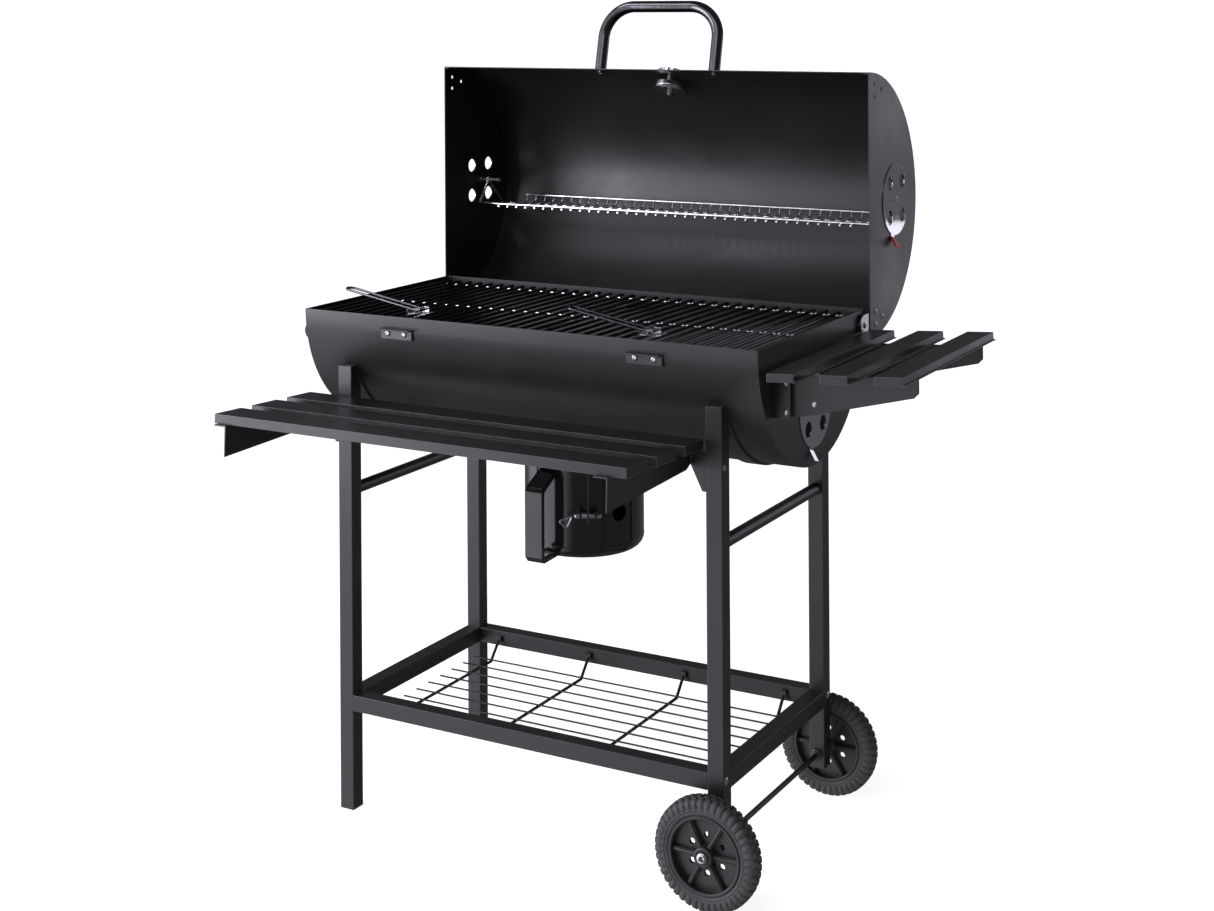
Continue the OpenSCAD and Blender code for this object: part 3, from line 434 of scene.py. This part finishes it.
def tread_height(angle, radius_share, across):
    """Height of the tyre's relief: radial ribs on the shoulders, three rows of blocks on the tread."""
    rib = lug(angle, 0.52, 0.0) * smooth_step(RIBS_FROM, 0.82, radius_share)
    if radius_share < 0.955:
        return rib
    row = min(2, int((across + 1) * 1.5))
    in_row = abs(((across + 1) * 1.5) % 1.0 - 0.5) * 2
    block_here = lug(angle, 0.60, 0.5 if row == 1 else 0.0) * (1 - smooth_step(0.74, 0.96, in_row))
    blend = smooth_step(0.955, 0.985, radius_share)
    return rib * (1 - blend) + block_here * blend


def tyre(name, node, body):
    """Solid rubber tyre with a knobbly tread, in the box of the plain CAD tyre."""
    low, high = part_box(node)
    centre = (low + high) / 2
    outer = (high.z - low.z) / 2
    half = (high.y - low.y) / 2
    outline = []
    for side in (-1, 1):
        run = [(RIM_R, 12.0), (58.0 * MM, 13.4), (59.2 * MM, 14.0), (60.6 * MM, 14.1), (61.3 * MM, 13.3),
               (62.2 * MM, 13.4), (63.4 * MM, 14.5)]
        run += [((63.4 + 1.5 * k) * MM, 14.5 + 0.5 * math.sin(k * 0.4)) for k in range(1, 6)]
        run += [(outer - 8.6 * MM, 14.4), (outer - 7.0 * MM, 14.0), (outer - 5.2 * MM, 13.1)]
        run += [(outer - 3.6 * MM, 11.8), (outer - 2.2 * MM, 10.2), (outer - 1.0 * MM, 8.2)]
        run += [(outer - 0.5 * MM, 7.2)]
        run = [(r, side * h * half / 15) for r, h in run]
        outline += run if side < 0 else run[::-1]
        if side < 0:
            steps = 17
            for k in range(steps + 1):
                crown = 0.25 * MM * abs(2 * k / steps - 1)
                outline.append((outer - crown, (-6.4 + 12.8 * k / steps) * half / 15))
    bm = bmesh.new()
    around = LUGS * STEPS_TO_A_LUG
    rings = []
    for k in range(around):
        angle = 2 * math.pi * k / around
        ring = []
        for r, h in outline:
            across = h / half
            share = r / outer
            sunk = 0.0
            if share > RIBS_FROM:
                sunk = LUG_DEPTH * (1 - tread_height(angle, share, across))
            out = smooth_step(0.90, 0.97, share)
            r_here = r - sunk * (0.25 + 0.75 * out) * smooth_step(RIBS_FROM, 0.86, share)
            side = 1 if h > 0 else -1
            h_here = h - side * sunk * 0.75 * (1 - out) * smooth_step(RIBS_FROM, 0.82, share)
            point = Vector((r_here * math.cos(angle), h_here, r_here * math.sin(angle)))
            ring.append(bm.verts.new(centre + point))
        rings.append(ring)
    ring_faces(bm, rings, True)
    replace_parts(piece(name, bm, body, "tyre_rubber", 50), node)


def hub_trim(name, node, body):
    """Rounded lips, spokes and boss rings on both faces of the moulded hub."""
    low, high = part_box(node)
    centre = (low + high) / 2
    bm = bmesh.new()
    for side in (-1, 1):
        face = turn(Y * side, centre)
        lip = [(51.0, 11.2), (51.0, 12.9), (51.7, 13.8), (53.2, 14.3), (54.9, 13.9), (55.5, 12.9),
               (55.5, 11.2)]
        lathe(bm, [(r * MM, h * MM) for r, h in lip], face, 128)
        boss = [(9.6, 15.5), (9.8, 17.4), (10.8, 18.1), (12.6, 18.0), (13.9, 17.0), (14.3, 15.2),
                (14.3, 2.0), (9.6, 2.0)]
        lathe(bm, [(r * MM, h * MM) for r, h in boss], face, 64)
        for k in range(6):
            spin = face @ Matrix.Rotation(math.radians(60 * k), 4, "Z")
            rings = []
            stations = 12
            for i in range(stations + 1):
                t = i / stations
                along = (13.0 + 38.6 * t) * MM
                wide = (4.6 - 1.3 * math.sin(math.pi * t) + 0.5 * t) * MM
                tall = (10.8 - 2.2 * t) * MM
                ring = []
                for s in range(13):
                    a = math.pi * s / 12
                    ring.append(bm.verts.new(spin @ Vector(
                        (along, wide * math.cos(a), 1.0 * MM + tall * math.sin(a) ** 0.7))))
                rings.append(ring)
            for a, b in zip(rings, rings[1:]):
                for j in range(len(a) - 1):
                    bm.faces.new((a[j], a[j + 1], b[j + 1], b[j]))
                bm.faces.new((a[0], b[0], b[-1], a[-1]))
            bm.faces.new(rings[0])
            bm.faces.new(rings[-1])
    piece(name, bm, body, "plastic_black", 38)


tyre("tyre_tread_front", "tyre_front", "wheel_front")
tyre("tyre_tread_rear", "tyre_rear", "wheel_rear")
hub_trim("hub_trim_front", "wheel_hub_front", "wheel_front")
hub_trim("hub_trim_rear", "wheel_hub_rear", "wheel_rear")


def axle_clips():
    """Domed push-on clips at both ends of the axle, with tongues round the hole."""
    low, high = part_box("axle")
    centre = (low + high) / 2
    bm = bmesh.new()
    for side in (-1, 1):
        face = turn(Y * side, Vector((centre.x, centre.y + side * (high.y - low.y) / 2, centre.z)))
        dome = [(4.05, -4.9), (8.2, -4.9), (8.5, -4.3), (8.2, -2.6), (7.2, -1.4), (5.6, -0.7), (4.3, -0.5),
                (4.05, -0.9)]
        lathe(bm, [(r * MM, h * MM) for r, h in dome], face, 48)
        for k in range(3):
            spin = face @ Matrix.Rotation(math.radians(120 * k + 20), 4, "Z")
            tongue = spin @ Matrix.Translation((4.0 * MM, 0, -0.35 * MM))
            block(bm, (2.6 * MM, 1.8 * MM, 0.9 * MM), tongue, 0.25 * MM)
    piece("axle_clips", bm, "cart", "vent_chrome", 35)


def axle_bushes():
    """Black bushes where the axle passes through the legs."""
    low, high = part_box("axle")
    centre = (low + high) / 2
    leg_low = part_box("leg_rear_right")[0]
    outline = [(4.1, 0), (9.4, 0), (9.6, 0.6), (9.6, 3.0), (8.6, 3.8), (6.4, 4.1), (6.0, 6.4), (5.2, 6.8),
               (4.1, 6.8)]
    bm = bmesh.new()
    for side in (-1, 1):
        inner = Vector((centre.x, centre.y + side * (leg_low.y - centre.y), centre.z))
        lathe(bm, [(r * MM, h * MM) for r, h in outline], turn(-Y * side, inner), 48)
    piece("axle_bushes", bm, "cart", "plastic_black", 35)


axle_clips()
axle_bushes()


# ---- Ash can ----

def pull_ring():
    """Locking pin with a bent end and a triangular wire ring, in the place of the plain CAD pin."""
    pull = joint("ash_can_pin_pull")[1].normalized()
    radius = 4.0 * MM
    out = Vector((pull.y, -pull.x, 0)).normalized()
    if out.dot(middle("ash_can_pin") - BARREL) < 0:
        out = -out
    centre = Vector((BARREL.x, BARREL.y, PIN_Z)) + out * PIN_OUT
    bm = bmesh.new()
    half = 21.0 * MM
    outline = [(0, -half), (2.6 * MM, -half), (3.7 * MM, -half + 0.8 * MM), (radius, -half + 2.0 * MM),
               (radius, half - 2.4 * MM), (3.4 * MM, half - 0.8 * MM), (2.4 * MM, half), (0, half)]
    lathe(bm, outline, turn(pull, centre), 40)
    start = centre + pull * (half - 3 * MM)
    top = start + pull * 6 * MM
    corners = [top, top + pull * 21 * MM - Z * 7 * MM, top + pull * 9 * MM - Z * 19 * MM]
    tube(bm, rounded(corners, 5 * MM, True, 8), 1.6 * MM, 14, True)
    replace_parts(piece("pin_and_ring", bm, "ash_can_pin", "wire_chrome", 45), "ash_can_pin")


def can_trim():
    """Bottom bead of the can, and the folded, hammered edges and welds of its strap handle."""
    low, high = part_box("ash_can_handle")
    bead_r = CAN_R - 0.4 * MM
    bead_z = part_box("ash_can")[0].z + 18.5 * MM
    axis = Vector((BARREL.x, BARREL.y, 0))
    bm = bmesh.new()
    points = []
    for k in range(128):
        a = 2 * math.pi * k / 128
        points.append(axis + Vector((bead_r * math.cos(a), bead_r * math.sin(a), bead_z)))
    tube(bm, points, 0.9 * MM, 10, True)
    piece("can_bead", bm, "ash_can", "can_enamel", 60)
    half = (high.x - low.x) / 2
    x = (high.x + low.x) / 2
    bm = bmesh.new()
    y = axis.y - math.sqrt(CAN_R ** 2 - half ** 2) - 0.6 * MM
    for z in (high.z - 0.5 * MM, high.z - 5.0 * MM):
        bead(bm, Vector((x - half, y, z)), Vector((x + half, y, z)), 5.0 * MM, -Y)
    for side in (-1, 1):
        edge_x = x + side * (half - 1.2 * MM)
        path = [(low.y + 30 * MM, low.z + 6 * MM), (low.y + 8 * MM, low.z + 5 * MM),
                (low.y + 5 * MM, low.z + 12 * MM), (low.y + 5 * MM, high.z - 33 * MM),
                (low.y + 8 * MM, high.z - 26 * MM), (low.y + 42 * MM, high.z - 8 * MM)]
        corners = rounded([Vector((edge_x, p, q)) for p, q in path], 7 * MM)
        line = []
        for a, b in zip(corners, corners[1:]):
            count = max(1, round((b - a).length / (1.2 * MM)))
            line += [a.lerp(b, k / count) for k in range(count)]
        rings = []
        for k, p in enumerate(line):
            along = (line[min(k + 1, len(line) - 1)] - line[max(k - 1, 0)]).normalized()
            inward = X.cross(along)
            dent = 1 + 0.13 * math.sin(k * 0.9 + side) * math.sin(k * 0.37) + 0.05 * random.random()
            ring = []
            for n in range(12):
                a = 2 * math.pi * n / 12
                thick = X * 1.3 * MM * math.cos(a) * dent
                deep = inward * 4.6 * MM * math.sin(a) * dent
                ring.append(bm.verts.new(p + thick + deep))
            rings.append(ring)
        ring_faces(bm, rings)
        bm.faces.new(rings[0])
        bm.faces.new(rings[-1])
    piece("strap_edges", bm, "ash_can", "can_enamel", 60)


pull_ring()
can_trim()


# ---- Vents ----

TAB_TURN = -16              # degrees from straight down, at rest
TAB_REACH = 62 * MM         # from the pivot to the tab's bend
TAB_BEND = 35


def vent_sleeves():
    """Red vinyl sleeves on the bent tabs of the lid's vents."""
    for side, node in ((-1, "lid_vent_left"), (1, "lid_vent_right")):
        pivot = joint(node + "_turn")[0]
        root_x = pivot.x + side * 1.4 * MM
        tab = Matrix.Translation(Vector((root_x, pivot.y, pivot.z)))
        tab = tab @ Matrix.Rotation(math.radians(TAB_TURN), 4, "X")
        tip = tab @ Matrix.Translation((0, 0, -TAB_REACH))
        tip = tip @ Matrix.Rotation(math.radians(-TAB_BEND * side), 4, "Y")
        bm = bmesh.new()
        sleeve = tip @ Matrix.Translation((-0.6 * side * MM, 0, -10.0 * MM))
        block(bm, (3.4 * MM, 20.0 * MM, 19.0 * MM), sleeve, 1.2 * MM)
        piece("vent_sleeve_" + node.split("_")[-1], bm, node, "signal_red", 40, 1)


vent_sleeves()


# ---- Thermometer ----

DIAL_SWEEP = 270            # degrees from the first tick to the last
TICK_END = 23.0 * MM
NUMBER_R = 16.2 * MM


def dial_face():
    """The place of the printed face, its Z out of the lid."""
    centre = middle("thermometer_dial")
    lid_axis = Vector((centre.x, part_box("lid_shell")[0].y, joint("lid_vent_right_turn")[0].z))
    normal = (centre - lid_axis).normalized()
    return turn(normal, centre + normal * 0.45 * MM)


def clamp_cap():
    """Plated cap over the clamping disc inside the lid."""
    outline = [(4.1, -25.4), (25.8, -25.4), (26.9, -24.9), (27.4, -23.8), (27.4, -16.0), (27.05, -16.0),
               (27.05, -23.6), (26.2, -25.0), (4.1, -25.0)]
    bm = bmesh.new()
    lathe(bm, [(r * MM, h * MM) for r, h in outline], dial_face(), 96)
    piece("clamp_cap", bm, "lid", "vent_chrome", 30)


def dial_print():
    """Ticks and numbers printed on the dial face."""
    face = dial_face()
    bm = bmesh.new()
    for k in range(41):
        a = math.radians(DIAL_SWEEP * (k / 40 - 0.5))
        long = 3.6 if k % 5 == 0 else 1.8
        wide = 0.7 if k % 5 == 0 else 0.35
        spin = face @ Matrix.Rotation(-a, 4, "Z")
        spin = spin @ Matrix.Translation((0, TICK_END - long / 2 * MM, 0))
        size = Matrix.Diagonal((wide * MM, long * MM, 0.12 * MM, 1))
        bmesh.ops.create_cube(bm, size=1.0, matrix=spin @ size)
    piece("dial_ticks", bm, "lid", "plastic_black", 30)
    for k in range(9):
        a = math.radians(DIAL_SWEEP * (k / 8 - 0.5))
        letters = bpy.data.curves.new("dial_number", "FONT")
        letters.body = str(50 * k)
        letters.size = 4.2 * MM
        letters.align_x = "CENTER"
        letters.align_y = "CENTER"
        letters.extrude = 0.06 * MM
        temporary = bpy.data.objects.new("dial_number", letters)
        bpy.context.scene.collection.objects.link(temporary)
        bpy.context.view_layer.update()
        letters_now = temporary.evaluated_get(bpy.context.evaluated_depsgraph_get())
        shape = bpy.data.meshes.new_from_object(letters_now)
        bpy.data.objects.remove(temporary)
        at = face @ Matrix.Translation((NUMBER_R * math.sin(a), NUMBER_R * math.cos(a), 0))
        bm = bmesh.new()
        bm.from_mesh(shape)
        bmesh.ops.remove_doubles(bm, verts=bm.verts, dist=1e-6)
        bmesh.ops.transform(bm, matrix=at, verts=bm.verts)
        piece(f"dial_number_{50 * k:03d}", bm, "lid", "plastic_black", 30)


clamp_cap()
dial_print()


# ---- Grates ----

ROD_LINES = (-182 * MM, -12 * MM, 182 * MM)
PLATED_R = 2.62 * MM


def cross_rods():
    """Worn, shiny sleeves over the cross rods under the bars of the two cooking grates."""
    for side in ("left", "right"):
        low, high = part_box("cooking_grate_" + side)
        outline = [(0, low.x), (1.8 * MM, low.x), (PLATED_R, low.x + 0.8 * MM),
                   (PLATED_R, high.x - 0.8 * MM), (1.8 * MM, high.x), (0, high.x)]
        bm = bmesh.new()
        for y in ROD_LINES:
            line = Vector((0, middle("cooking_grate_" + side).y + y, low.z + BAR_R))
            lathe(bm, outline, turn(X, line), 20)
        piece("grate_cross_rods_" + side, bm, "cooking_grate_" + side, "wire_chrome", 40)


cross_rods()


# ---- Stage ----

def floor():
    """Plain pale floor that meets the pale background without a line."""
    low, high = Vector((-5.0, -5.0)), Vector((2.4, 1.9))
    bm = bmesh.new()
    corners = [(low.x, low.y), (high.x, low.y), (high.x, high.y), (low.x, high.y)]
    bm.faces.new([bm.verts.new((BARREL.x + x, BARREL.y + y, 0)) for x, y in corners])
    mesh = bpy.data.meshes.new("floor")
    bm.to_mesh(mesh)
    bm.free()
    made = bpy.data.objects.new("floor", mesh)
    bpy.context.scene.collection.objects.link(made)
    s = Shader("floor_white", Roughness=0.9, Emission_Strength=0.84)
    s.surface.inputs["Base Color"].default_value = grey(0.86)
    s.surface.inputs["Emission Color"].default_value = (1, 1, 1, 1)
    mesh.materials.append(s.material)
    made.visible_glossy = False


STUDIO_TINT = (1.0, 0.985, 1.10)      # of the soft boxes and the room, faintly violet


def soft_box(name, target, offset, size, radiance):
    """Rectangular area light at an offset from its target, facing it."""
    data = bpy.data.lights.new(name, "AREA")
    data.shape = "RECTANGLE"
    data.size, data.size_y = size
    data.energy = radiance * math.pi * size[0] * size[1]
    data.color = STUDIO_TINT
    light = bpy.data.objects.new(name, data)
    bpy.context.scene.collection.objects.link(light)
    light.location = target + Vector(offset)
    light.rotation_euler = (-Vector(offset)).to_track_quat("-Z", "Y").to_euler()
    light.visible_camera = False


def studio():
    """White backdrop for the camera; the light is brighter front left and dimmer back right."""
    world = bpy.data.worlds.new("studio")
    bpy.context.scene.world = world
    world.use_nodes = True
    tree = world.node_tree
    background = tree.nodes["Background"]
    background.inputs["Color"].default_value = (*STUDIO_TINT, 1)
    way = tree.nodes.new("ShaderNodeTexCoord")
    toward = tree.nodes.new("ShaderNodeVectorMath")
    toward.operation = "DOT_PRODUCT"
    toward.inputs[1].default_value = Vector((-0.80, -0.60, -0.10)).normalized()
    tree.links.new(way.outputs["Generated"], toward.inputs[0])
    dim = tree.nodes.new("ShaderNodeMapRange")
    dim.interpolation_type = "SMOOTHSTEP"
    dim.inputs["From Min"].default_value = 0.45
    dim.inputs["To Min"].default_value = 0.11
    dim.inputs["To Max"].default_value = 1.5
    tree.links.new(toward.outputs["Value"], dim.inputs["Value"])
    rays = tree.nodes.new("ShaderNodeLightPath")
    seen = tree.nodes.new("ShaderNodeMapRange")
    seen.inputs["To Max"].default_value = 1.15
    tree.links.new(rays.outputs["Is Camera Ray"], seen.inputs["Value"])
    tree.links.new(dim.outputs[0], seen.inputs["To Min"])
    tree.links.new(seen.outputs[0], background.inputs["Strength"])
    target = Vector((BARREL.x, BARREL.y, 0.6))
    soft_box("key_left", target, (-2.1, -2.1, 0.5), (1.3, 2.0), 7.0)
    soft_box("strip_top", target, (-1.2, -0.75, 2.2), (1.3, 0.35), 8)
    soft_box("top", target, (0.3, -2.0, 2.0), (1.8, 1.2), 2.0)
    card_target = Vector((BARREL.x + 0.41, BARREL.y + 0.33, 0.954))
    soft_box("card_low", card_target, (1.0, 2.2, -0.47), (1.8, 0.30), 1.1)
    soft_box("card_high", card_target, (1.0, 2.2, 0.24), (1.8, 0.70), 1.0)


def camera():
    """Level camera off the grill's front right, framed by a vertical shift."""
    data = bpy.data.cameras.new("camera")
    data.sensor_width = 36
    data.lens = 55.4
    data.shift_y = -0.3726
    data.clip_end = 200
    made = bpy.data.objects.new("camera", data)
    bpy.context.scene.collection.objects.link(made)
    made.location = Vector((BARREL.x + 1.49235, BARREL.y - 2.58192, 1.27818))
    heading = Matrix.Rotation(math.radians(29.25), 4, "Z") @ Matrix.Rotation(math.radians(90), 4, "X")
    made.rotation_euler = (heading @ Matrix.Rotation(math.radians(-0.33), 4, "Z")).to_euler()
    bpy.context.scene.camera = made


floor()
studio()
camera()
bpy.context.scene.view_settings.view_transform = "Standard"
